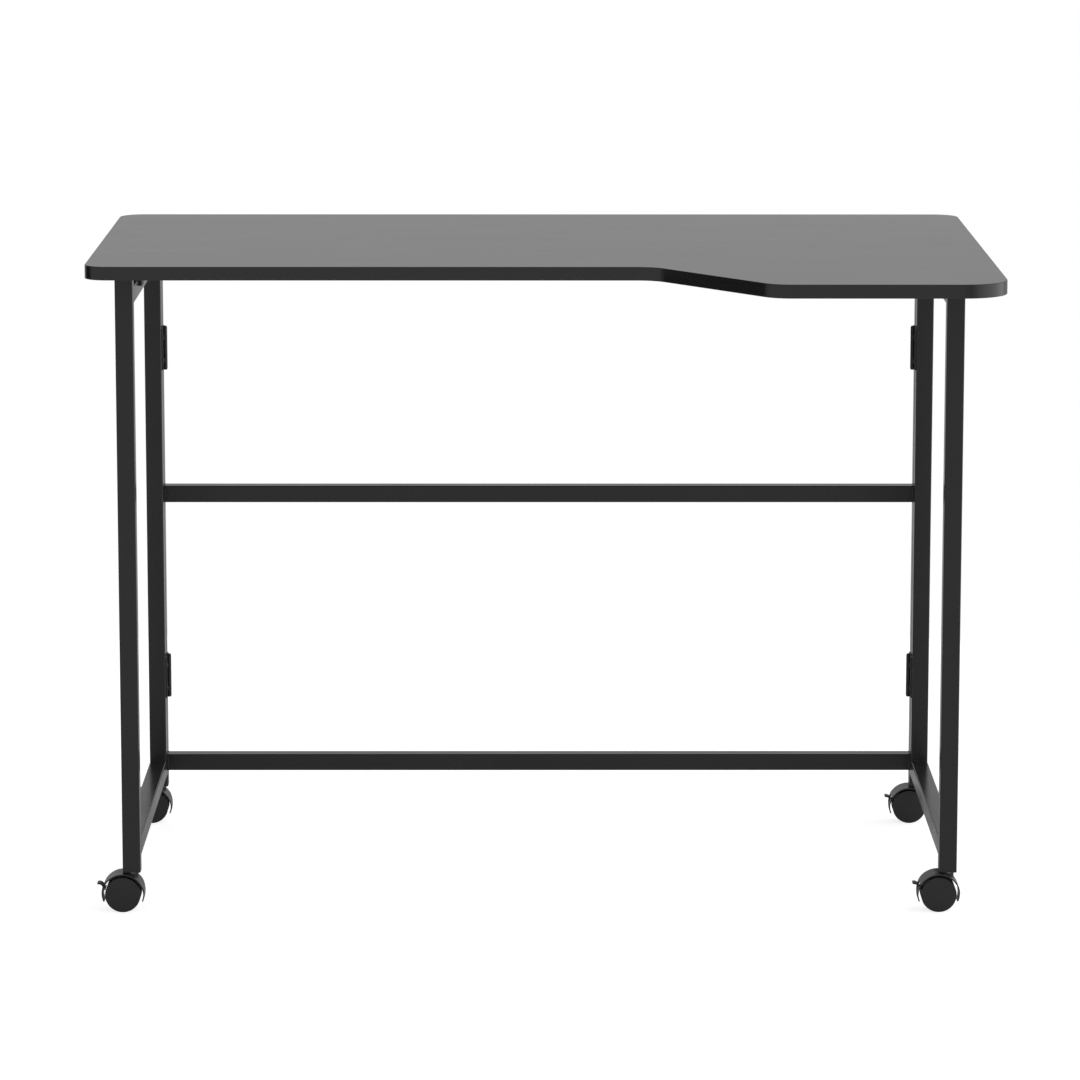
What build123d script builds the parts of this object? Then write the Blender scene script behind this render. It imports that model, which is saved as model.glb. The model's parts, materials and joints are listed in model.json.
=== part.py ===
"""A folding sewing table on four casters.

A stepped board lies on two side frames and a rear frame of square steel tube.  The side frames swing in
against the rear frame on butt hinges, the board lifts on two hinges along the rear crossbar, and each
caster swivels on its stem, with two wheels on one axle and a brake lever.

The frame is millimetres, +Z up, with the origin on the floor under the middle of the board.
+X runs along the board and +Y points to the back.
"""

from build123d import *

import os
from math import cos, radians, sin, tan

os.makedirs("parts", exist_ok=True)

# ---------------------------------------------------------------- driving dimensions

# board
BOARD_WIDTH = 1000.0
BOARD_DEPTH = 700.0  # at the deep right-hand end
SHALLOW_DEPTH = 540.0  # along the left-hand stretch
BOARD_THICKNESS = 15.0
BOARD_TOP = 739.0
BAND = 1.0  # edge band
BAND_ROUND = 0.6
STEP_X = 124.0  # where the front edge starts to slant out to the deep end
STEP_ANGLE = 52.0
STEP_RADIUS = 36.0
REAR_CORNER = 28.0
LEFT_CORNER = 25.0
RIGHT_CORNER = 50.0

# square tube frame
TUBE = 20.0
WALL = 1.2
TUBE_CORNER = 1.6
FRAME_WIDTH = 941.0  # over the outer faces of the posts
POST_BOTTOM = 45.0
FRONT_POST_Y = -120.5
SIDE_REAR_POST_Y = 300.0
REAR_POST_Y = 322.5
BOTTOM_RAIL_Z = 71.0
TOP_RAIL_Z = 699.0
BOTTOM_BAR_Z = 75.0
MIDDLE_BAR_Z = 405.0
REST_GAP = 0.4  # between the board and what it lies on
CAP = 1.5  # flange of each end plug
PLUG_DEPTH = 14.0
PLUG_SKIRT = 2.5  # wall of the plug inside the tube
STEM_GRIP = 26.0  # length of caster stem held by its socket

# support pads on the side frames' top rails
PAD_Y = -28.0  # middle of the front pad
REAR_PAD_Y = 235.0
PAD_LENGTH = 30.0
SKIRT = 3.6  # hangs down the rail's inner face
SKIRT_BOTTOM = 700.0
SKIRT_ROUND = 2.5

# side hinges, with a vertical pin between the two rear tubes on each side
HINGE_HEIGHT = 50.0
HINGE_ZS = (183.5, 583.0)
HINGE_INSET = 3.0  # from the posts' inner faces to the pin
LEAF = 1.5
KNUCKLE_RADIUS = 2.85
PIN_RADIUS = 1.5
LEAF_REACH = 17.0
HINGE_MIDDLE = 17.0  # height of the middle knuckle
KNUCKLE_GAP = 0.35
PIN_HEAD = 1.0
PIN_LIP = 0.9  # by which a pin's head is wider than the pin
RIVET_Z_STEP = 14.0  # a leaf's two rivets, above and below its middle
RIVET_Y_OUT = 10.54  # rivet line, from the pin
RIVET_SHANK = 2.0
RIVET_HEAD = 3.2
RIVET_TAIL = 2.7
RIVET_RISE = 1.2  # height of a rivet's head, and of its tail
HEAD_TAPER = 35

# board hinges, with a pin along X behind the rear crossbar
TOP_HINGE_XS = (-330.0, 330.0)
TOP_HINGE_LENGTH = 60.0
TOP_PIN_Y = 335.7
TOP_PIN_DROP = 3.5  # below the underside of the board
TOP_MIDDLE = 22.0  # length of the middle knuckle
LEAF_DROP = 8.0  # from the crossbar's middle to the lower edge of its leaf
BOARD_LEAF_END = 347.5
FIXING_X_STEP = 20.0  # a leaf's two fixings, either side of its middle
FIXING_Y_OUT = 8.0  # screw line, from the pin
FIXING_DROP = 1.5  # rivet line, below the crossbar's middle
SCREW_LENGTH = 10.0
SCREW_RADIUS = 1.75
SCREW_HEAD = 3.0
CROSS_LENGTH = 2.6  # of the recess in a screw's head
CROSS_WIDTH = 0.6
CROSS_DEPTH = 0.9

# casters, where a polar angle is measured round the axle from +X
WHEEL_RADIUS = 20.0
WHEEL_INNER = 6.1  # wheel's inner side, from the middle of the caster
WHEEL_OUTER = 15.0
WHEEL_WEB = 10.2  # inner side of the web between hub and rim
WHEEL_CAP = 13.5  # inner side of the skin that covers the axle's end
WHEEL_HUB = 7.0
WHEEL_RIM = 2.6  # thickness of the rim
DRAFT = 1.0
SHOULDER = 0.4  # radius between the tread and the domed face
DOME_RISE = 1.6
TRAIL = 10.0  # from the stem to the axle
AXLE_RADIUS = 2.0
AXLE_HALF = 13.1
RUNNING = 0.05  # radial clearance of a turning fit
HOOD_RADIUS = 24.2
HOOD_SKIN = 1.5
HOOD_WIDTH = 31.0
HOOD_TAPER_ROUND = 5.0
CROWN_ANGLE = 30.0  # the hood is full width above this
ARM_WIDTH = 16.0
ARM_TOP = -2.0  # where the arms reach that width, from the axle
TIP_ANGLE = 22.4  # how far below the axle the arms reach
CORE_WIDTH = 11.2
CORE_BACK = -12.0
CORE_STEP = 6.0  # underside of the core's back, and radius of the axle's boss
CORE_FRONT = 15.6
CORE_FOOT = -1.0
STEM_RADIUS = 4.0
STEM_LOW = 23.5
STEM_POCKET = 1.5  # room under the stem
COLLAR_RADIUS = 6.0
COLLAR = 1.6
NECK_RADIUS = 7.4
NECK_GAP = 0.3
SEAT_RADIUS = 7.8  # recess in the hood's crown, round the neck

# brake levers
LEVER_RADIUS = 23.2  # pivot, from the axle
LEVER_ANGLE = 163.0
LEVER_WIDTH = 10.0
LEVER_THICK = 2.2
LEVER_HUB = 1.2
LEVER_BEND = (-2.1, 3.6)  # middle of the curved tab, from the pivot
LEVER_TIP = (-6.1, 4.6)  # from the pivot
STUB_RADIUS = 0.7
STUB_SHORT = 0.2
PAWL_THICK = 1.1
PAWL_ANGLE = 22.0  # of the pawl at rest, off the line from the pivot to the axle
BAR_REACH = 2.3  # from the pivot to the bar that meets the treads
BRAKE_BAR = 0.7  # radius of that bar
SLOT_WIDTH = 10.8
SLOT_ANGLES = (150.0, 174.0)
SLOT_RADII = (18.0, 27.0)
EAR_WIDTH = 1.8
EAR_RADIUS = 1.35

# ---------------------------------------------------------------- derived values

BOARD_BOTTOM = BOARD_TOP - BOARD_THICKNESS
BACK_Y = BOARD_DEPTH / 2
FRONT_Y = -BOARD_DEPTH / 2
SHALLOW_Y = BACK_Y - SHALLOW_DEPTH
REST_Z = BOARD_BOTTOM - REST_GAP
TOP_BAR_Z = REST_Z - TUBE / 2
POST_X = (FRAME_WIDTH - TUBE) / 2
INNER_X = POST_X - TUBE / 2
BORE = TUBE - 2 * WALL
BORE_CORNER = TUBE_CORNER - WALL + 0.1
TUBE_TOP = REST_Z - CAP
LOW_END = BOTTOM_RAIL_Z - TUBE / 2
HALF_HINGE = HINGE_HEIGHT / 2
BEHIND_BAR = REAR_POST_Y + TUBE / 2
NECK_TOP = POST_BOTTOM - COLLAR - NECK_GAP
STEP_RUN = (BOARD_DEPTH - SHALLOW_DEPTH) / tan(radians(STEP_ANGLE))
STEP_END_X = STEP_X + STEP_RUN
HINGE_X = INNER_X - HINGE_INSET
HINGE_Y = (SIDE_REAR_POST_Y + REAR_POST_Y) / 2
TOP_PIN_Z = BOARD_BOTTOM - TOP_PIN_DROP
SIDES = {"left": -1, "right": 1}
CASTERS = {
    "front_left": (-POST_X, FRONT_POST_Y),
    "front_right": (POST_X, FRONT_POST_Y),
    "rear_left": (-POST_X, REAR_POST_Y),
    "rear_right": (POST_X, REAR_POST_Y),
}


def save(piece, name):
    """Labels a finished piece and writes it as a node of its own."""
    piece.part.label = name
    export_step(piece.part, f"parts/{name}.step")


# ---------------------------------------------------------------- square tube frame


def tube(name, plane, length, rivet_holes=()):
    """A square tube that runs from the plane along its normal, with cross holes for rivets.

    Each rivet hole is (point, direction) and goes through one wall only.
    """
    with BuildPart() as piece:
        with BuildSketch(plane):
            RectangleRounded(TUBE, TUBE, TUBE_CORNER)
            RectangleRounded(BORE, BORE, BORE_CORNER, mode=Mode.SUBTRACT)
        extrude(amount=length)
        for point, direction in rivet_holes:
            with Locations(Plane(origin=point, z_dir=direction)):
                Cylinder(RIVET_SHANK, 3 * WALL, mode=Mode.SUBTRACT)
    save(piece, name)


def end_plugs(name, ends):
    """Plastic plugs for open tube ends, each end as (x, y, z of the tube's end, +1 up or -1 down)."""
    with BuildPart() as piece:
        for x, y, z, up in ends:
            with BuildSketch(Plane(origin=(x, y, z), z_dir=(0, 0, up))):
                RectangleRounded(TUBE, TUBE, TUBE_CORNER)
            extrude(amount=CAP)
            with BuildSketch(Plane(origin=(x, y, z), z_dir=(0, 0, -up))):
                RectangleRounded(BORE, BORE, BORE_CORNER)
                hollow = BORE - 2 * PLUG_SKIRT
                RectangleRounded(hollow, hollow, BORE_CORNER, mode=Mode.SUBTRACT)
            extrude(amount=PLUG_DEPTH)
    save(piece, name)


def stem_socket(name, stems):
    """Plastic inserts in the posts' lower ends, each bored for a caster stem."""
    with BuildPart() as piece:
        for x, y in stems:
            with BuildSketch(Plane.XY.offset(POST_BOTTOM)):
                with Locations((x, y)):
                    RectangleRounded(TUBE, TUBE, TUBE_CORNER)
                    Circle(STEM_RADIUS, mode=Mode.SUBTRACT)
            extrude(amount=CAP)
            with BuildSketch(Plane.XY.offset(POST_BOTTOM + CAP)):
                with Locations((x, y)):
                    RectangleRounded(BORE, BORE, BORE_CORNER)
                    Circle(STEM_RADIUS, mode=Mode.SUBTRACT)
            extrude(amount=STEM_GRIP)
    save(piece, name)


def leaf_rivet_zs():
    """Heights of the rivets in the side hinges, two to a leaf."""
    return [z + step for z in HINGE_ZS for step in (-RIVET_Z_STEP, RIVET_Z_STEP)]


for side, sign in SIDES.items():
    inward = (-sign, 0, 0)
    wall_x = sign * INNER_X
    rear_holes = [((wall_x, HINGE_Y + RIVET_Y_OUT, z), inward) for z in leaf_rivet_zs()]
    side_holes = [((wall_x, HINGE_Y - RIVET_Y_OUT, z), inward) for z in leaf_rivet_zs()]
    post_height = TUBE_TOP - POST_BOTTOM - CAP
    tube(f"rear_post_{side}", Plane(origin=(sign * POST_X, REAR_POST_Y, POST_BOTTOM + CAP)),
         post_height, rear_holes)
    tube(f"front_post_{side}", Plane(origin=(sign * POST_X, FRONT_POST_Y, POST_BOTTOM + CAP)),
         post_height)
    tube(f"side_rear_post_{side}", Plane(origin=(sign * POST_X, SIDE_REAR_POST_Y, LOW_END + CAP)),
         TUBE_TOP - LOW_END - CAP, side_holes)
    rail_start = FRONT_POST_Y + TUBE / 2
    rail_length = SIDE_REAR_POST_Y - TUBE / 2 - rail_start
    for level, z in (("top", TOP_RAIL_Z), ("bottom", BOTTOM_RAIL_Z)):
        tube(f"{level}_rail_{side}", Plane(origin=(sign * POST_X, rail_start, z), z_dir=(0, 1, 0)),
             rail_length)
    end_plugs(f"side_frame_caps_{side}", [
        (sign * POST_X, FRONT_POST_Y, TUBE_TOP, 1),
        (sign * POST_X, SIDE_REAR_POST_Y, TUBE_TOP, 1),
        (sign * POST_X, SIDE_REAR_POST_Y, LOW_END + CAP, -1),
    ])
    stem_socket(f"front_stem_socket_{side}", [(sign * POST_X, FRONT_POST_Y)])

top_bar_holes = [((x + step, BEHIND_BAR, TOP_BAR_Z - FIXING_DROP), (0, 1, 0))
                 for x in TOP_HINGE_XS for step in (-FIXING_X_STEP, FIXING_X_STEP)]
for level, z, holes in (("bottom", BOTTOM_BAR_Z, ()), ("middle", MIDDLE_BAR_Z, ()),
                        ("top", TOP_BAR_Z, top_bar_holes)):
    tube(f"{level}_crossbar", Plane(origin=(-INNER_X, REAR_POST_Y, z), z_dir=(1, 0, 0)),
         2 * INNER_X, holes)

end_plugs("rear_post_caps", [(sign * POST_X, REAR_POST_Y, TUBE_TOP, 1) for sign in SIDES.values()])
stem_socket("rear_stem_sockets", [(sign * POST_X, REAR_POST_Y) for sign in SIDES.values()])

# ---------------------------------------------------------------- support pads

for side, sign in SIDES.items():
    with BuildPart() as support_pads:
        with BuildSketch(Plane.XZ.offset(-PAD_Y - PAD_LENGTH / 2)):
            outer = sign * (POST_X + TUBE / 2)
            inner = sign * (INNER_X - SKIRT)
            with BuildLine():
                Polyline(
                    (outer, REST_Z), (inner, REST_Z), (inner, SKIRT_BOTTOM),
                    (sign * INNER_X, SKIRT_BOTTOM), (sign * INNER_X, TOP_RAIL_Z + TUBE / 2),
                    (outer, TOP_RAIL_Z + TUBE / 2), close=True,
                )
            make_face()
        extrude(amount=PAD_LENGTH)
        skirt_edges = support_pads.edges().filter_by(Axis.X).group_by(Axis.Z)[0]
        fillet(skirt_edges, SKIRT_ROUND)
        with Locations((0, REAR_PAD_Y - PAD_Y, 0)):
            add(support_pads.part)
    save(support_pads, f"support_pads_{side}")

# ---------------------------------------------------------------- side hinges


def knuckle_spans(length, middle, outer_knuckles):
    """A leaf's lengths along the pin as (start, length, has a knuckle), from the hinge's middle."""
    half = length / 2
    if outer_knuckles:
        knuckle = (length - middle) / 2 - KNUCKLE_GAP
        return [(-half, knuckle, True), (knuckle - half, middle + 2 * KNUCKLE_GAP, False),
                (half - knuckle, knuckle, True)]
    rest = (length - middle) / 2
    return [(-half, rest, False), (-middle / 2, middle, True), (middle / 2, rest, False)]


def side_hinge_leaves(name, sign, toward, outer_knuckles, bore):
    """The two leaves of one side that lie on one frame, toward +1 behind the pin and -1 before it."""
    wall_x = sign * INNER_X
    with BuildPart() as piece:
        for z in HINGE_ZS:
            for start, length, knuckle in knuckle_spans(HINGE_HEIGHT, HINGE_MIDDLE, outer_knuckles):
                near = 0 if knuckle else KNUCKLE_RADIUS + KNUCKLE_GAP
                with BuildSketch(Plane.XY.offset(z + start)):
                    with Locations((wall_x - sign * LEAF / 2, HINGE_Y + toward * (near + LEAF_REACH) / 2)):
                        Rectangle(LEAF, LEAF_REACH - near)
                    if knuckle:
                        with Locations((sign * HINGE_X, HINGE_Y)):
                            Circle(KNUCKLE_RADIUS)
                            Circle(bore, mode=Mode.SUBTRACT)
                extrude(amount=length)
        for z in leaf_rivet_zs():
            seat = Plane(origin=(wall_x, HINGE_Y + toward * RIVET_Y_OUT, z), z_dir=(sign, 0, 0))
            with Locations(seat):
                Cylinder(RIVET_SHANK, 4 * LEAF, mode=Mode.SUBTRACT)
    save(piece, name)


def rivets(name, seats):
    """Domed rivets, each seat a plane on the tube's face with its normal into the wall."""
    with BuildPart() as piece:
        for seat in seats:
            with BuildSketch(seat.offset(-LEAF)):
                Circle(RIVET_SHANK)
            extrude(amount=LEAF + WALL)
            with BuildSketch(seat.offset(WALL)):
                Circle(RIVET_TAIL)
            extrude(amount=RIVET_RISE)
            with BuildSketch(seat.offset(-LEAF)):
                Circle(RIVET_HEAD)
            extrude(amount=-RIVET_RISE, taper=HEAD_TAPER)
    save(piece, name)


def side_rivet_seats(sign, toward):
    """Planes on a side hinge's tube, where its rivets go through."""
    return [Plane(origin=(sign * INNER_X, HINGE_Y + toward * RIVET_Y_OUT, z), z_dir=(sign, 0, 0))
            for z in leaf_rivet_zs()]


for side, sign in SIDES.items():
    side_hinge_leaves(f"hinge_leaves_rear_frame_{side}", sign, 1, False, PIN_RADIUS)
    side_hinge_leaves(f"hinge_leaves_side_frame_{side}", sign, -1, True, PIN_RADIUS + RUNNING)
    rivets(f"hinge_rivets_side_frame_{side}", side_rivet_seats(sign, -1))

rivets("hinge_rivets_rear_frame",
       side_rivet_seats(-1, 1) + side_rivet_seats(1, 1)
       + [Plane(origin=point, z_dir=(0, -1, 0)) for point, direction in top_bar_holes])

with BuildPart() as side_pins:
    with Locations([(sign * HINGE_X, HINGE_Y, z) for sign in SIDES.values() for z in HINGE_ZS]):
        Cylinder(PIN_RADIUS, HINGE_HEIGHT + 2 * KNUCKLE_GAP)
        with Locations((0, 0, HALF_HINGE + KNUCKLE_GAP + PIN_HEAD / 2),
                       (0, 0, -HALF_HINGE - KNUCKLE_GAP - PIN_HEAD / 2)):
            Cylinder(PIN_RADIUS + PIN_LIP, PIN_HEAD)
save(side_pins, "side_hinge_pins")

# ---------------------------------------------------------------- board hinges


def board_hinge_leaves(name, outer_knuckles, bore, plate):
    """The leaves of the board's hinges that lie on one part, plate giving (y0, z0, y1, z1) of a section."""
    with BuildPart() as piece:
        for x in TOP_HINGE_XS:
            for start, length, knuckle in knuckle_spans(TOP_HINGE_LENGTH, TOP_MIDDLE, outer_knuckles):
                y0, z0, y1, z1 = plate(0 if knuckle else KNUCKLE_RADIUS + KNUCKLE_GAP)
                with BuildSketch(Plane.YZ.offset(x + start)):
                    with Locations(((y0 + y1) / 2, (z0 + z1) / 2)):
                        Rectangle(y1 - y0, z1 - z0)
                    if knuckle:
                        with Locations((TOP_PIN_Y, TOP_PIN_Z)):
                            Circle(KNUCKLE_RADIUS)
                            Circle(bore, mode=Mode.SUBTRACT)
                extrude(amount=length)
        if outer_knuckles:
            with Locations([(x, y, BOARD_BOTTOM) for x, y in LEAF_SCREWS]):
                Cylinder(SCREW_RADIUS, 4 * LEAF, mode=Mode.SUBTRACT)
        else:
            for point, direction in top_bar_holes:
                with Locations(Plane(origin=point, z_dir=direction)):
                    Cylinder(RIVET_SHANK, 4 * LEAF, mode=Mode.SUBTRACT)
    save(piece, name)


def bar_plate(near):
    """Section of the leaf on the crossbar's back, which hangs from the pin."""
    return BEHIND_BAR, TOP_BAR_Z - LEAF_DROP, BEHIND_BAR + LEAF, TOP_PIN_Z - near


def board_plate(near):
    """Section of the leaf under the board, which runs back from the pin."""
    return TOP_PIN_Y + near, BOARD_BOTTOM - LEAF, BOARD_LEAF_END, BOARD_BOTTOM


LEAF_SCREWS = [(x + step, TOP_PIN_Y + FIXING_Y_OUT)
               for x in TOP_HINGE_XS for step in (-FIXING_X_STEP, FIXING_X_STEP)]

board_hinge_leaves("board_hinge_leaves_crossbar", False, PIN_RADIUS, bar_plate)
board_hinge_leaves("board_hinge_leaves_board", True, PIN_RADIUS + RUNNING, board_plate)

with BuildPart() as board_pins:
    for x in TOP_HINGE_XS:
        with BuildSketch(Plane.YZ.offset(x - TOP_HINGE_LENGTH / 2 - KNUCKLE_GAP)):
            with Locations((TOP_PIN_Y, TOP_PIN_Z)):
                Circle(PIN_RADIUS)
        extrude(amount=TOP_HINGE_LENGTH + 2 * KNUCKLE_GAP)
        for end, way in ((-1, -1), (1, 1)):
            with BuildSketch(Plane.YZ.offset(x + end * (TOP_HINGE_LENGTH / 2 + KNUCKLE_GAP))):
                with Locations((TOP_PIN_Y, TOP_PIN_Z)):
                    Circle(PIN_RADIUS + PIN_LIP)
            extrude(amount=way * PIN_HEAD)
save(board_pins, "board_hinge_pins")

with BuildPart() as board_screws:
    for x, y in LEAF_SCREWS:
        with BuildSketch(Plane.XY.offset(BOARD_BOTTOM - LEAF)):
            with Locations((x, y)):
                Circle(SCREW_RADIUS)
        extrude(amount=SCREW_LENGTH)
        with BuildSketch(Plane.XY.offset(BOARD_BOTTOM - LEAF)):
            with Locations((x, y)):
                Circle(SCREW_HEAD)
        extrude(amount=-RIVET_RISE, taper=HEAD_TAPER)
        with BuildSketch(Plane.XY.offset(BOARD_BOTTOM - LEAF - RIVET_RISE)):
            with Locations((x, y)):
                Rectangle(CROSS_LENGTH, CROSS_WIDTH)
                Rectangle(CROSS_WIDTH, CROSS_LENGTH)
        extrude(amount=CROSS_DEPTH, mode=Mode.SUBTRACT)
save(board_screws, "board_hinge_screws")

# ---------------------------------------------------------------- board

def board_outline(inset):
    """The stepped outline, drawn that far inside the finished edge."""
    half = BOARD_WIDTH / 2
    with BuildSketch(Plane.XY.offset(BOARD_BOTTOM)) as outline:
        with BuildLine():
            Polyline(
                (-half, BACK_Y), (half, BACK_Y), (half, FRONT_Y), (STEP_END_X, FRONT_Y),
                (STEP_X, SHALLOW_Y), (-half, SHALLOW_Y), close=True,
            )
        make_face()
        for corner, radius in (
            ((-half, BACK_Y), REAR_CORNER), ((half, BACK_Y), REAR_CORNER),
            ((half, FRONT_Y), RIGHT_CORNER), ((-half, SHALLOW_Y), LEFT_CORNER),
            ((STEP_END_X, FRONT_Y), STEP_RADIUS), ((STEP_X, SHALLOW_Y), STEP_RADIUS),
        ):
            point = (*corner, 0)
            fillet(outline.vertices().sort_by_distance(point)[0], radius)
        if inset:
            offset(amount=-inset, mode=Mode.REPLACE)
    return outline.sketch


with BuildPart() as board:
    add(board_outline(BAND))
    extrude(amount=BOARD_THICKNESS)
    with Locations([(x, y, BOARD_BOTTOM) for x, y in LEAF_SCREWS]):
        Cylinder(SCREW_RADIUS, 2 * (SCREW_LENGTH - LEAF), mode=Mode.SUBTRACT)
save(board, "board")

with BuildPart() as edge_band:
    for inset, mode in ((0, Mode.ADD), (BAND, Mode.SUBTRACT)):
        add(board_outline(inset))
        extrude(amount=BOARD_THICKNESS, mode=mode)
    for end in (0, -1):
        rim = edge_band.faces().filter_by(Axis.Z).sort_by(Axis.Z)[end].outer_wire()
        fillet(rim.edges(), BAND_ROUND)
save(edge_band, "edge_band")


# ---------------------------------------------------------------- casters

def polar(radius, angle):
    """A point in the wheel's side view, from the axle."""
    return radius * cos(radians(angle)), radius * sin(radians(angle))


def caster_hood(name, side_view, front_view, x, y):
    """The housing: a shell over the wheels, a core between them, a neck for the stem and ears."""
    inner = HOOD_RADIUS - HOOD_SKIN
    crown_z = HOOD_RADIUS * sin(radians(CROWN_ANGLE))
    pivot = polar(LEVER_RADIUS, LEVER_ANGLE)
    half, arm = HOOD_WIDTH / 2, ARM_WIDTH / 2
    with BuildPart() as hood:
        with BuildSketch(side_view):
            Circle(HOOD_RADIUS)
            Circle(inner, mode=Mode.SUBTRACT)
            with BuildLine():
                Polyline((0, 0), polar(2 * HOOD_RADIUS, -TIP_ANGLE), (0, -2 * HOOD_RADIUS),
                         polar(2 * HOOD_RADIUS, 180 + TIP_ANGLE), close=True)
            make_face(mode=Mode.SUBTRACT)
        extrude(amount=half, both=True)
        with BuildSketch(front_view) as taper:
            with BuildLine():
                Polyline((-half, HOOD_RADIUS), (half, HOOD_RADIUS), (half, crown_z), (arm, ARM_TOP),
                         (arm, -HOOD_RADIUS), (-arm, -HOOD_RADIUS), (-arm, ARM_TOP), (-half, crown_z),
                         close=True)
            make_face()
            bends = taper.vertices().filter_by(lambda v: ARM_TOP - 1 < v.Y < crown_z + 1)
            fillet(bends, HOOD_TAPER_ROUND)
        extrude(amount=2 * HOOD_RADIUS, both=True, mode=Mode.INTERSECT)
        with BuildSketch(Plane.XY.offset(NECK_TOP)):
            with Locations((x, y)):
                Circle(SEAT_RADIUS)
        extrude(amount=HOOD_RADIUS, mode=Mode.SUBTRACT)
        with BuildSketch(Plane.XY.offset(NECK_TOP)):
            with Locations((x, y)):
                Circle(NECK_RADIUS)
        extrude(amount=WHEEL_RADIUS - NECK_TOP)
        with BuildSketch(side_view):
            Circle(inner)
        extrude(amount=HOOD_WIDTH, both=True, mode=Mode.SUBTRACT)
        with BuildSketch(side_view):
            with BuildLine():
                Polyline((CORE_BACK, CORE_STEP), (CORE_BACK, HOOD_RADIUS), (CORE_FRONT, HOOD_RADIUS),
                         (CORE_FRONT, CORE_FOOT), (0, CORE_FOOT), (0, CORE_STEP), close=True)
            make_face()
            Circle(inner + HOOD_SKIN / 8, mode=Mode.INTERSECT)
            Circle(CORE_STEP)
            Circle(AXLE_RADIUS, mode=Mode.SUBTRACT)
        extrude(amount=CORE_WIDTH / 2, both=True)
        with BuildSketch(Plane.XY.offset(NECK_TOP)):
            with Locations((x, y)):
                Circle(STEM_RADIUS + RUNNING)
        extrude(amount=STEM_LOW - STEM_POCKET - NECK_TOP, mode=Mode.SUBTRACT)
        low, high = SLOT_RADII
        with BuildSketch(side_view):
            with BuildLine():
                Polyline(polar(low, SLOT_ANGLES[0]), polar(high, SLOT_ANGLES[0]),
                         polar(high, SLOT_ANGLES[1]), polar(low, SLOT_ANGLES[1]), close=True)
            make_face()
        extrude(amount=SLOT_WIDTH / 2, both=True, mode=Mode.SUBTRACT)
        for way in (-1, 1):
            with BuildSketch(side_view.offset(way * SLOT_WIDTH / 2)):
                with Locations(pivot):
                    Circle(EAR_RADIUS)
            extrude(amount=way * EAR_WIDTH)
        with BuildSketch(side_view):
            with Locations(pivot):
                Circle(STUB_RADIUS + RUNNING)
        extrude(amount=SLOT_WIDTH / 2 + EAR_WIDTH, both=True, mode=Mode.SUBTRACT)
    save(hood, name)


def brake_lever(name, side_view):
    """A curved tab on a hub with stub axles, and inside the hood a pawl that ends in a bar."""
    pivot = polar(LEVER_RADIUS, LEVER_ANGLE)
    pawl_angle = radians(LEVER_ANGLE - 180 - PAWL_ANGLE)
    bar = (pivot[0] + BAR_REACH * cos(pawl_angle), pivot[1] + BAR_REACH * sin(pawl_angle))
    tip = (pivot[0] + LEVER_TIP[0], pivot[1] + LEVER_TIP[1])
    bend = (pivot[0] + LEVER_BEND[0], pivot[1] + LEVER_BEND[1])
    with BuildPart() as lever:
        with BuildSketch(side_view):
            with Locations(pivot):
                Circle(LEVER_HUB)
            with BuildLine():
                ThreePointArc(pivot, bend, tip)
            trace(line_width=LEVER_THICK)
            with Locations(tip):
                Circle(LEVER_THICK / 2)
            with BuildLine():
                Line(pivot, bar)
            trace(line_width=PAWL_THICK)
        extrude(amount=LEVER_WIDTH / 2, both=True)
        with BuildSketch(side_view):
            with Locations(bar):
                Circle(BRAKE_BAR)
        extrude(amount=LEVER_WIDTH, both=True)
        with BuildSketch(side_view):
            with Locations(pivot):
                Circle(STUB_RADIUS)
        extrude(amount=SLOT_WIDTH / 2 + EAR_WIDTH - STUB_SHORT, both=True)
    save(lever, name)


def caster_wheel(name, section):
    """One wheel, turned about the axle, drawn outwards from the middle of the caster."""
    edge = WHEEL_RADIUS - SHOULDER
    rim = (WHEEL_OUTER - DOME_RISE, edge)
    dome_radius = (edge**2 + DOME_RISE**2) / (2 * DOME_RISE)
    rim_inside = WHEEL_RADIUS - WHEEL_RIM
    bore = AXLE_RADIUS + RUNNING
    with BuildPart() as wheel:
        with BuildSketch(section):
            with BuildLine():
                Polyline((WHEEL_OUTER, 0), (WHEEL_CAP, 0), (WHEEL_CAP, bore), (WHEEL_INNER, bore),
                         (WHEEL_INNER, WHEEL_HUB - DRAFT), (WHEEL_WEB, WHEEL_HUB),
                         (WHEEL_WEB, rim_inside - DRAFT), (WHEEL_INNER, rim_inside),
                         (WHEEL_INNER, WHEEL_RADIUS - DRAFT / 2), (WHEEL_INNER + DRAFT / 2, WHEEL_RADIUS),
                         (rim[0] - SHOULDER, WHEEL_RADIUS))
                RadiusArc((rim[0] - SHOULDER, WHEEL_RADIUS), rim, -SHOULDER)
                RadiusArc(rim, (WHEEL_OUTER, 0), dome_radius)
            make_face()
        revolve(axis=Axis(section.origin, section.x_dir))
    save(wheel, name)


def caster_stem(name, stems):
    """Steel stems with a collar, held in the posts' sockets, one for each (x, y)."""
    with BuildPart() as stem:
        for x, y in stems:
            with BuildSketch(Plane.XY.offset(STEM_LOW)):
                with Locations((x, y)):
                    Circle(STEM_RADIUS)
            extrude(amount=POST_BOTTOM + CAP + STEM_GRIP - STEM_LOW)
            with BuildSketch(Plane.XY.offset(POST_BOTTOM)):
                with Locations((x, y)):
                    Circle(COLLAR_RADIUS)
            extrude(amount=-COLLAR)
    save(stem, name)


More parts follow.
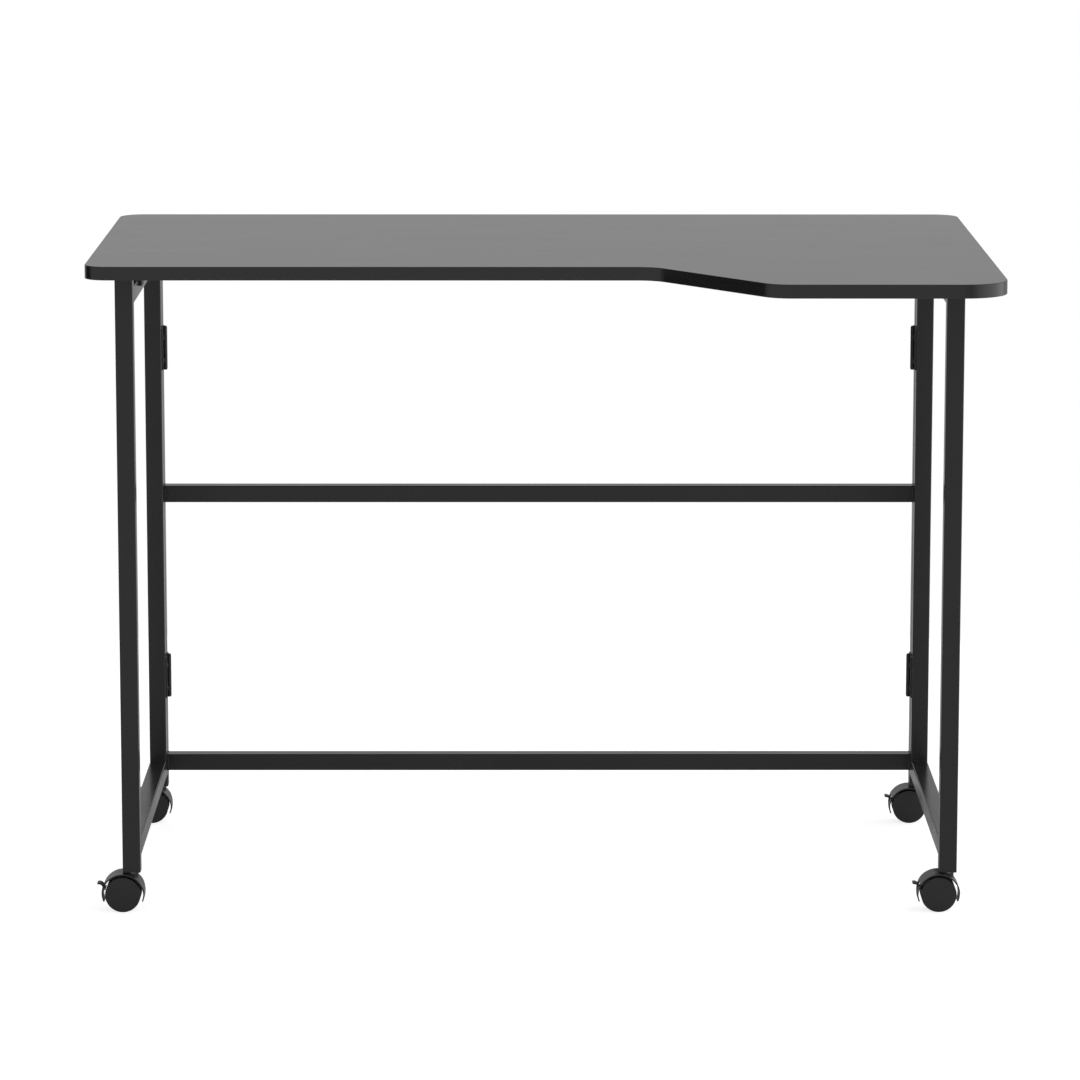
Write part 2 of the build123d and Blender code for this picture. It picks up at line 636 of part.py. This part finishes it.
for place, (x, y) in CASTERS.items():
    axle_point = (x - TRAIL, y, WHEEL_RADIUS)
    side_view = Plane(origin=axle_point, x_dir=(1, 0, 0), z_dir=(0, -1, 0))
    front_view = Plane(origin=axle_point, x_dir=(0, 1, 0), z_dir=(1, 0, 0))
    caster_hood(f"caster_hood_{place}", side_view, front_view, x, y)
    brake_lever(f"brake_lever_{place}", side_view)
    for which, way in (("outer", -1), ("inner", 1)):
        caster_wheel(f"caster_wheel_{place}_{which}",
                     Plane(origin=axle_point, x_dir=(0, way, 0), z_dir=(way, 0, 0)))
    with BuildPart() as axle:
        with BuildSketch(side_view):
            Circle(AXLE_RADIUS)
        extrude(amount=AXLE_HALF, both=True)
    save(axle, f"caster_axle_{place}")

for side, sign in SIDES.items():
    caster_stem(f"caster_stem_front_{side}", [(sign * POST_X, FRONT_POST_Y)])
caster_stem("caster_stems_rear", [(sign * POST_X, REAR_POST_Y) for sign in SIDES.values()])
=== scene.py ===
import json
import math

import bmesh
import bpy
from mathutils import Euler, Matrix, Vector


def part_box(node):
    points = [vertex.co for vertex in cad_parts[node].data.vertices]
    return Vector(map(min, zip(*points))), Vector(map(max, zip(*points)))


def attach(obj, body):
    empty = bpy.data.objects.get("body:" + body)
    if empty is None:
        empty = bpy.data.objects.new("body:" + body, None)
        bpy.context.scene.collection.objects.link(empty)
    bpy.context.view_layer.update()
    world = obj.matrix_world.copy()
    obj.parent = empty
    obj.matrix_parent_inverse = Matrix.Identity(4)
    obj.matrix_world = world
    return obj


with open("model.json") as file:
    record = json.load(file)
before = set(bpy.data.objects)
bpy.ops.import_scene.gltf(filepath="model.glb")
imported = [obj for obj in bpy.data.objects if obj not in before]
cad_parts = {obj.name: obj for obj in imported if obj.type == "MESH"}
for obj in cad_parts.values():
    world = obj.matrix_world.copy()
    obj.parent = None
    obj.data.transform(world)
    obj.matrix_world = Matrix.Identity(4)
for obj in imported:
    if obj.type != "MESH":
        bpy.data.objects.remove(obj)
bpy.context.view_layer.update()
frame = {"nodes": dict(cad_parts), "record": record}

nodes = frame["nodes"]
scene = bpy.context.scene

# ---------------------------------------------------------------- camera

CAMERA_PLACE = (-0.0168, -5.6027, 1.3762)
CAMERA_PITCH = 80.149
CAMERA_ROLL = 0.031
CAMERA_YAW = -0.176
SENSOR_MM = 36.0
FOCAL_MM = 166.04


def make_camera():
    data = bpy.data.cameras.new("camera")
    data.sensor_width = SENSOR_MM
    data.lens = FOCAL_MM
    data.clip_start, data.clip_end = 0.05, 100.0
    camera = bpy.data.objects.new("camera", data)
    camera.location = CAMERA_PLACE
    aim = Euler((math.radians(CAMERA_PITCH), 0.0, math.radians(CAMERA_YAW))).to_matrix()
    camera.rotation_euler = (aim @ Matrix.Rotation(math.radians(CAMERA_ROLL), 3, "Z")).to_euler()
    scene.collection.objects.link(camera)
    scene.camera = camera


# ---------------------------------------------------------------- shader helpers

BEVEL_SAMPLES = 4
FLAT_DOT, EDGE_DOT = 0.995, 0.86  # rounded normal times true normal, off an edge and on one
MIX_SHARE, MIX_A, MIX_B, MIX_RESULT = 0, 6, 7, 2  # the Mix node's sockets for colours


class Shader:
    """A material, or the world, and short calls that add and join its nodes."""

    def __init__(self, owner):
        owner.use_nodes = True
        self.tree = owner.node_tree
        self.tree.nodes.clear()

    def add(self, kind, values=None, **settings):
        """A node. A value is joined if it is another node's socket, and set otherwise."""
        node = self.tree.nodes.new(kind)
        for key, value in settings.items():
            setattr(node, key, value)
        for key, value in (values or {}).items():
            if isinstance(value, bpy.types.NodeSocket):
                self.tree.links.new(value, node.inputs[key])
            else:
                node.inputs[key].default_value = value
        return node

    def math(self, operation, a, b=0.0):
        return self.add("ShaderNodeMath", {0: a, 1: b}, operation=operation).outputs[0]

    def span(self, value, low, high, to_low=0.0, to_high=1.0, smooth=False):
        """value mapped from low..high to to_low..to_high, and held at the ends."""
        node = self.add(
            "ShaderNodeMapRange",
            {"Value": value, 1: low, 2: high, 3: to_low, 4: to_high},
            interpolation_type="SMOOTHSTEP" if smooth else "LINEAR",
        )
        return node.outputs[0]

    def mix(self, share, a, b):
        """Colour a at share 0 and b at share 1."""
        values = {MIX_SHARE: share, MIX_A: a, MIX_B: b}
        return self.add("ShaderNodeMix", values, data_type="RGBA").outputs[MIX_RESULT]

    def vary(self, noise, a, b):
        """Colour a where a noise is low and b where it is high."""
        return self.mix(self.span(noise, 0.3, 0.7), a, b)

    def worn(self, tone, wear, share, bare):
        """tone, with a share of the colour bare where wear is 1."""
        return self.mix(self.math("MULTIPLY", wear, share), tone, bare)

    def rougher(self, gloss, wear, amount):
        return self.math("ADD", gloss, self.math("MULTIPLY", wear, amount))

    def noise(self, where, scale, detail=2.0, roughness=0.5, stretch=None):
        if stretch:
            where = self.add("ShaderNodeMapping", {"Vector": where, "Scale": stretch}).outputs[0]
        values = {"Vector": where, "Scale": scale, "Detail": detail, "Roughness": roughness}
        return self.add("ShaderNodeTexNoise", values).outputs[0]

    def bump(self, height, distance, strength=1.0, normal=None):
        values = {"Height": height, "Distance": distance, "Strength": strength}
        if normal:
            values["Normal"] = normal
        return self.add("ShaderNodeBump", values).outputs[0]

    def edges(self, radius):
        """1 along sharp edges, fading to 0 at about radius from them."""
        rounded = self.add("ShaderNodeBevel", {"Radius": radius}, samples=BEVEL_SAMPLES)
        true = self.add("ShaderNodeNewGeometry")
        dot = self.add(
            "ShaderNodeVectorMath",
            {0: rounded.outputs[0], 1: true.outputs["Normal"]},
            operation="DOT_PRODUCT",
        )
        return self.span(dot.outputs["Value"], FLAT_DOT, EDGE_DOT)

    def finish(self, colour, roughness, normal, **fixed):
        values = {"Base Color": colour, "Roughness": roughness, "Normal": normal}
        values.update({k.replace("_", " "): v for k, v in fixed.items()})
        principled = self.add("ShaderNodeBsdfPrincipled", values)
        self.add("ShaderNodeOutputMaterial", {0: principled.outputs[0]})


def gray(value, blue=0.0):
    return (value, value, value + blue, 1.0)


def start(name):
    material = bpy.data.materials.new(name)
    shader = Shader(material)
    coordinates = shader.add("ShaderNodeTexCoord")
    return material, shader, coordinates.outputs["Object"], coordinates.outputs["Generated"]


def worn_edges(s, where, radius, patch_scale):
    """Edge wear in patches, so that it doesn't outline the whole piece."""
    patches = s.span(s.noise(where, patch_scale, detail=4.0, roughness=0.62), 0.46, 0.66)
    return s.math("MULTIPLY", s.edges(radius), patches)


# ---------------------------------------------------------------- materials
# Noise and bump are in object coordinates, in metres: scale 1000 gives features about 1 mm across.


def board_face():
    """Black melamine face: a very fine pearl texture, and faint wiping marks in the gloss."""
    m, s, where, _ = start("board_face")
    pearl = s.noise(where, scale=1500.0, detail=3.0, roughness=0.55)
    wipes = s.noise(where, scale=7.0, detail=4.0, roughness=0.6, stretch=(1.0, 2.6, 1.0))
    clouds = s.noise(where, scale=2.2, detail=3.0)
    specks = s.span(s.noise(where, scale=900.0), 0.68, 0.76)
    tone = s.vary(clouds, gray(0.0165), gray(0.0195, blue=0.0004))
    tone = s.worn(tone, specks, 0.35, gray(0.034))
    wiped = s.span(wipes, 0.3, 0.72, to_low=0.15, to_high=0.165)
    gloss = s.math("ADD", wiped, s.span(pearl, 0.3, 0.7, to_low=0.0, to_high=0.03))
    s.finish(tone, gloss, s.bump(pearl, distance=0.000004, strength=0.5))
    return m


def edge_band():
    """Black plastic edge band: lines along the extrusion, and rubbed along its two arrises."""
    m, s, where, _ = start("edge_band")
    lines = s.noise(where, scale=14.0, detail=3.0, roughness=0.6, stretch=(1.0, 1.0, 170.0))
    stipple = s.noise(where, scale=2200.0)
    rub = worn_edges(s, where, radius=0.0011, patch_scale=26.0)
    tone = s.worn(s.vary(lines, gray(0.0065), gray(0.0095)), rub, 0.5, gray(0.05))
    gloss = s.rougher(s.span(lines, 0.25, 0.75, to_low=0.24, to_high=0.32), rub, 0.08)
    normal = s.bump(lines, distance=0.00002, strength=0.5)
    normal = s.bump(stipple, distance=0.00001, strength=0.6, normal=normal)
    s.finish(tone, gloss, normal, Specular_IOR_Level=0.7)
    return m


def frame_paint():
    """Black powder coat on steel tube: orange peel, dust pimples, and thin paint on the corners."""
    m, s, where, _ = start("frame_paint")
    peel = s.noise(where, scale=620.0, roughness=0.45)
    fine = s.noise(where, scale=2600.0)
    pimples = s.span(s.noise(where, scale=260.0, detail=1.0), 0.71, 0.78, smooth=True)
    clouds = s.noise(where, scale=9.0, detail=4.0, roughness=0.6)
    rub = worn_edges(s, where, radius=0.0012, patch_scale=34.0)
    tone = s.vary(clouds, gray(0.0165), gray(0.0205, blue=0.0003))
    tone = s.worn(tone, rub, 0.45, gray(0.052))
    gloss = s.rougher(s.span(clouds, 0.3, 0.72, to_low=0.2, to_high=0.28), rub, 0.1)
    normal = s.bump(peel, distance=0.00004, strength=0.5)
    normal = s.bump(fine, distance=0.000008, strength=0.6, normal=normal)
    normal = s.bump(pimples, distance=0.00008, strength=0.5, normal=normal)
    s.finish(tone, gloss, normal)
    return m


def black_hardware():
    """Black coated hinge steel: stamped surface, and the coating rubbed at the edges."""
    m, s, where, _ = start("black_hardware")
    grain = s.noise(where, scale=1900.0, detail=3.0, roughness=0.6)
    scuffs = s.noise(where, scale=160.0, detail=5.0, roughness=0.7, stretch=(1.0, 1.0, 0.18))
    rub = worn_edges(s, where, radius=0.0007, patch_scale=120.0)
    tone = s.mix(s.span(scuffs, 0.35, 0.7), gray(0.012), gray(0.021))
    tone = s.worn(tone, rub, 0.7, gray(0.11))
    gloss = s.rougher(s.span(scuffs, 0.3, 0.7, to_low=0.28, to_high=0.42), rub, 0.05)
    s.finish(tone, gloss, s.bump(grain, distance=0.000015, strength=0.6))
    return m


def black_plastic():
    """Moulded polyethylene plugs, sockets and pads: spark-eroded texture."""
    m, s, where, _ = start("black_plastic")
    texture = s.noise(where, scale=1500.0, detail=3.0, roughness=0.6)
    clouds = s.noise(where, scale=60.0, detail=3.0)
    tone = s.vary(clouds, gray(0.014), gray(0.02))
    tone = s.worn(tone, s.edges(radius=0.0006), 0.3, gray(0.04))
    gloss = s.span(texture, 0.25, 0.75, to_low=0.4, to_high=0.56)
    s.finish(tone, gloss, s.bump(texture, distance=0.00003, strength=0.6))
    return m


def caster_housing():
    """Moulded nylon hood: satin, with the mould's parting line along its middle."""
    m, s, where, generated = start("caster_housing")
    texture = s.noise(where, scale=1700.0)
    flow = s.noise(where, scale=55.0, detail=4.0, roughness=0.6, stretch=(1.0, 0.4, 1.0))
    across = s.add("ShaderNodeSeparateXYZ", {0: generated}).outputs["Y"]
    from_middle = s.math("ABSOLUTE", s.math("SUBTRACT", across, 0.5))
    parting = s.span(from_middle, 0.006, 0.0, smooth=True)
    rub = worn_edges(s, where, radius=0.0006, patch_scale=110.0)
    tone = s.worn(s.vary(flow, gray(0.016), gray(0.022)), rub, 0.5, gray(0.05))
    gloss = s.span(flow, 0.25, 0.75, to_low=0.24, to_high=0.36)
    normal = s.bump(texture, distance=0.000012, strength=0.5)
    normal = s.bump(parting, distance=0.00012, strength=0.8, normal=normal)
    s.finish(tone, gloss, normal)
    return m


def caster_wheel():
    """Nylon wheel: turned rings on its disc, and a dusty, scuffed tread."""
    m, s, where, generated = start("caster_wheel")
    texture = s.noise(where, scale=1500.0)
    middle = s.add("ShaderNodeVectorMath", {0: generated, 1: (0.5, 0.5, 0.5)}, operation="SUBTRACT")
    across_axle = {0: middle.outputs[0], 1: (1.0, 0.0, 1.0)}
    flat = s.add("ShaderNodeVectorMath", across_axle, operation="MULTIPLY")
    length = s.add("ShaderNodeVectorMath", {0: flat.outputs[0]}, operation="LENGTH")
    radius = length.outputs["Value"]  # 0 at the axle and 0.5 at the rim
    rings = s.math("SINE", s.math("MULTIPLY", radius, 520.0))
    scuffs = s.noise(where, scale=330.0, detail=5.0, roughness=0.7)
    at_rim = s.span(radius, 0.476, 0.494, smooth=True)
    tread = s.math("MULTIPLY", at_rim, s.span(scuffs, 0.4, 0.68))
    tone = s.worn(s.vary(scuffs, gray(0.0165), gray(0.0205)), tread, 0.55, gray(0.07))
    gloss = s.rougher(s.span(scuffs, 0.25, 0.75, to_low=0.27, to_high=0.36), tread, 0.25)
    normal = s.bump(texture, distance=0.000012, strength=0.6)
    normal = s.bump(rings, distance=0.000003, strength=0.7, normal=normal)
    s.finish(tone, gloss, normal)
    return m


def bright_steel():
    """Zinc plated pins, stems and axles: fine drawn lines and dull patches."""
    m, s, where, _ = start("bright_steel")
    lines = s.noise(where, scale=700.0, detail=4.0, roughness=0.7, stretch=(1.0, 0.08, 1.0))
    patches = s.noise(where, scale=120.0, detail=4.0, roughness=0.6)
    tone = s.vary(patches, gray(0.42, blue=0.01), gray(0.6))
    gloss = s.span(patches, 0.25, 0.75, to_low=0.24, to_high=0.42)
    s.finish(tone, gloss, s.bump(lines, distance=0.00001, strength=0.5), Metallic=1.0)
    return m


def paint_nodes():
    """Each CAD node takes the material of its slot in the record. Returns slot to material."""
    makers = (
        board_face,
        edge_band,
        frame_paint,
        black_hardware,
        black_plastic,
        caster_housing,
        caster_wheel,
        bright_steel,
    )
    made = {maker.__name__: maker() for maker in makers}
    for part in frame["record"]["subparts"]:
        slots = nodes[part["node"]].data.materials
        slots.clear()
        slots.append(made[part["material_slot"]])
    return made


# ---------------------------------------------------------------- weld beads

BEAD_LEG = 0.001  # of a fillet bead, on each of the two faces
FILLET_STEPS = 8
FILLET_HOLLOW = 1.5  # 1 would be a round bead; more is hollow
FLUSH_WIDTH = 0.0034  # of a low bead where two faces are level
FLUSH_RISE = 0.00024
FLUSH_STEPS = 10
SUNK = 0.00006  # how far a bead's edges lie inside the metal
ROOT = 5 * SUNK  # how far its hidden underside does
STATION = 0.00028  # from one cross-section to the next
RIPPLE = 0.0011  # from one ripple to the next
RIPPLE_DEPTH = 0.13
RIPPLE_JITTER = 0.06
WANDER = ((0.07, 0.0011, 1.0), (0.06, 0.00043, 2.3))  # share of the width, metres, phase
SHIFT, SHIFT_LENGTH, SHIFT_PHASE = 0.00018, 0.0017, 1.7  # a flush bead's line wanders sideways
RUN_OUT = 0.0016  # length over which a bead ends
THINNEST_END = 0.02
CORNER = 0.0011  # of the tube, left bare at a bead's ends
LEVEL_CORNERS = 2.5  # corners left bare where the tube is level with the post's end
TUBE_PHASE, END_PHASE, FILLET_PHASE, FLUSH_PHASE = 1.9, 0.7, 2.1, 1.3  # so that beads differ


def bead_width(along, length, phase):
    """How wide a bead is at a distance along it: rippled, uneven, and tapered at its ends."""
    ripple = 1.0 - RIPPLE_DEPTH * ((along / RIPPLE + RIPPLE_JITTER * math.sin(phase)) % 1.0) ** 2
    wander = sum(share * math.sin(along / metres + turn * phase) for share, metres, turn in WANDER)
    end = min(along, length - along) / RUN_OUT
    return (ripple + wander) * math.sqrt(max(THINNEST_END, min(1.0, end)))


def fillet_section(size):
    leg = BEAD_LEG * size
    turns = [math.pi / 2 * j / FILLET_STEPS for j in range(FILLET_STEPS + 1)]
    power = FILLET_HOLLOW
    section = [(leg * math.cos(a) ** power - SUNK, leg * math.sin(a) ** power - SUNK) for a in turns]
    return section + [(-ROOT, -ROOT)]


def flush_section(size, shift):
    half = FLUSH_WIDTH / 2 * size
    steps = [j / (FLUSH_STEPS / 2) - 1 for j in range(FLUSH_STEPS + 1)]
    section = [(half * u + shift, FLUSH_RISE * size * (1 - u * u) - SUNK) for u in steps]
    return section + [(half + shift, -ROOT), (-half + shift, -ROOT)]


def add_bead(bm, start, run, across, rise, fillet, phase):
    """A bead from start along run. A fillet lies in a corner, a flush bead over a level joint."""
    start, run, across, rise = Vector(start), Vector(run), Vector(across), Vector(rise)
    length = run.length
    count = round(length / STATION)
    rings = []
    for i in range(count + 1):
        along = length * i / count
        size = bead_width(along, length, phase)
        shift = SHIFT * math.sin(along / SHIFT_LENGTH + SHIFT_PHASE * phase)
        section = fillet_section(size) if fillet else flush_section(size, shift)
        at = start + run * (i / count)
        rings.append([bm.verts.new(at + across * a + rise * b) for a, b in section])
    for ring, following in zip(rings, rings[1:]):
        for j in range(len(ring)):
            k = (j + 1) % len(ring)
            bm.faces.new((ring[j], ring[k], following[k], following[j]))
    bm.faces.new(rings[0])
    bm.faces.new(rings[-1])


def along_axis(axis, amount):
    vector = Vector((0, 0, 0))
    vector[axis] = amount
    return vector


def add_end_beads(bm, low, high, run_axis, high_end, skip, phase):
    """Beads round one end of a square tube that butts against a post, on the sides not in skip."""
    end_at = high[run_axis] if high_end else low[run_axis]
    inward = along_axis(run_axis, -1.0 if high_end else 1.0)
    level_axis = 1 - run_axis
    for side, z, up in (("top", high[2], 1), ("bottom", low[2], -1)):
        if side in skip:
            continue
        start = Vector((0, 0, z))
        start[run_axis] = end_at
        start[level_axis] = low[level_axis] + CORNER
        run = along_axis(level_axis, high[level_axis] - low[level_axis] - 2 * CORNER)
        add_bead(bm, start, run, inward, (0, 0, up), True, phase)
        phase += FILLET_PHASE
    for out, level in ((-1, low[level_axis]), (1, high[level_axis])):
        foot = low[2] + CORNER * (LEVEL_CORNERS if "bottom" in skip else 1)
        head = high[2] - CORNER * (LEVEL_CORNERS if "top" in skip else 1)
        start = Vector((0, 0, foot))
        start[run_axis] = end_at
        start[level_axis] = level
        add_bead(bm, start, (0, 0, head - foot), inward, along_axis(level_axis, out), False, phase)
        phase += FLUSH_PHASE


def make_welds(name, body, tubes, run_axis, bare):
    """The welds at both ends of each tube. bare gives (tube, end is high): sides without a bead."""
    bm = bmesh.new()
    for i, tube in enumerate(tubes):
        low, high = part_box(tube)
        for high_end in (False, True):
            skip = bare.get((tube, high_end), ())
            phase = TUBE_PHASE * i + END_PHASE * high_end
            add_end_beads(bm, low, high, run_axis, high_end, skip, phase)
    bmesh.ops.recalc_face_normals(bm, faces=bm.faces)
    mesh = bpy.data.meshes.new(name)
    bm.to_mesh(mesh)
    bm.free()
    mesh.shade_smooth()
    mesh.materials.append(made["frame_paint"])
    welds = bpy.data.objects.new(name, mesh)
    scene.collection.objects.link(welds)
    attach(welds, body)


def make_all_welds():
    bars = ["bottom_crossbar", "middle_crossbar", "top_crossbar"]
    level = {("top_crossbar", end): ("top",) for end in (False, True)}
    make_welds("welds_rear_frame", "rear_frame", bars, 0, level)
    for side in ("left", "right"):
        rails = [f"top_rail_{side}", f"bottom_rail_{side}"]
        bare = {(f"bottom_rail_{side}", True): ("bottom",)}
        make_welds(f"welds_side_frame_{side}", f"side_frame_{side}", rails, 1, bare)


# ---------------------------------------------------------------- studio

# The light's level by its turn round the table: 0 and 1 straight behind it, 0.25 to its left,
# 0.5 in front of it and 0.75 to its right.
BEHIND = 0.505
LIGHT_STOPS = (
    (0.0, BEHIND),
    (0.117, BEHIND),
    (0.14, 0.01),
    (0.238, 0.01),
    (0.264, 0.52),
    (0.525, 0.52),
    (0.556, 0.25),
    (0.6, 0.65),
    (0.63, 0.95),
    (0.675, 1.1),
    (0.76, 1.35),
    (0.825, 1.8),
    (0.87, BEHIND),
    (1.0, BEHIND),
)
BAND_EDGE, BAND_END = 0.35, 0.85  # a direction's z, up or down, where the light starts and stops fading
OVERHEAD = 0.6  # share of the light left straight above and below

FLOOR_RADIUS = 1.6
FLOOR_DROP = 0.0002  # below the wheels, so that they don't share a face with it
FLOOR_GLOW = 0.12
FLOOR_GLOW_SEEN = 0.78  # more where the camera sees it, so that the floor is as white as the backdrop


def camera_sees(s):
    """1 for what the camera sees directly, and 0 for light and reflections."""
    return s.add("ShaderNodeLightPath").outputs["Is Camera Ray"]


def make_world():
    """Soft light by direction. The camera sees white behind the object, as on a lit backdrop."""
    world = bpy.data.worlds.new("studio")
    scene.world = world
    s = Shader(world)
    direction = s.add("ShaderNodeTexCoord").outputs["Generated"]
    x, y, z = s.add("ShaderNodeSeparateXYZ", {0: direction}).outputs[:3]
    angle = s.math("ARCTAN2", s.math("MULTIPLY", x, -1.0), s.math("MULTIPLY", y, -1.0))
    turn = s.math("ADD", s.math("DIVIDE", angle, -2 * math.pi), 0.5)
    ramp = s.add("ShaderNodeValToRGB", {0: turn})
    elements = ramp.color_ramp.elements
    for i, (at, level) in enumerate(LIGHT_STOPS):
        e = elements[i] if i < 2 else elements.new(at)
        e.position = at
        e.color = gray(level)
    height = s.math("ABSOLUTE", z)
    band = s.span(height, BAND_EDGE, BAND_END, to_low=1.0, to_high=OVERHEAD, smooth=True)
    light = s.add("ShaderNodeBackground", {"Color": ramp.outputs[0], "Strength": band})
    white = s.add("ShaderNodeBackground", {"Color": gray(1.0), "Strength": 1.0})
    sides = {0: camera_sees(s), 1: light.outputs[0], 2: white.outputs[0]}
    both = s.add("ShaderNodeMixShader", sides)
    s.add("ShaderNodeOutputWorld", {0: both.outputs[0]})


def make_floor():
    """A pale disc under the table, which is clear from below so that the underside can be seen."""
    place = (0, 0, -FLOOR_DROP)
    bpy.ops.mesh.primitive_circle_add(
        vertices=128, radius=FLOOR_RADIUS, fill_type="NGON", location=place
    )
    floor = bpy.context.object
    floor.name = "floor"
    material = bpy.data.materials.new("floor")
    s = Shader(material)
    where = s.add("ShaderNodeTexCoord").outputs["Object"]
    grain = s.noise(where, scale=90.0, detail=3.0)
    glow = s.span(camera_sees(s), 0.0, 1.0, to_low=FLOOR_GLOW, to_high=FLOOR_GLOW_SEEN)
    principled = s.add(
        "ShaderNodeBsdfPrincipled",
        {
            "Base Color": s.vary(grain, gray(0.78), gray(0.8)),
            "Roughness": 0.8,
            "Emission Color": gray(1.0),
            "Emission Strength": glow,
        },
    )
    clear = s.add("ShaderNodeBsdfTransparent")
    below = s.add("ShaderNodeNewGeometry").outputs["Backfacing"]
    sides = {0: below, 1: principled.outputs[0], 2: clear.outputs[0]}
    both = s.add("ShaderNodeMixShader", sides)
    s.add("ShaderNodeOutputMaterial", {0: both.outputs[0]})
    floor.data.materials.append(material)


made = paint_nodes()
make_all_welds()
make_camera()
make_world()
make_floor()
scene.view_settings.view_transform = "Standard"
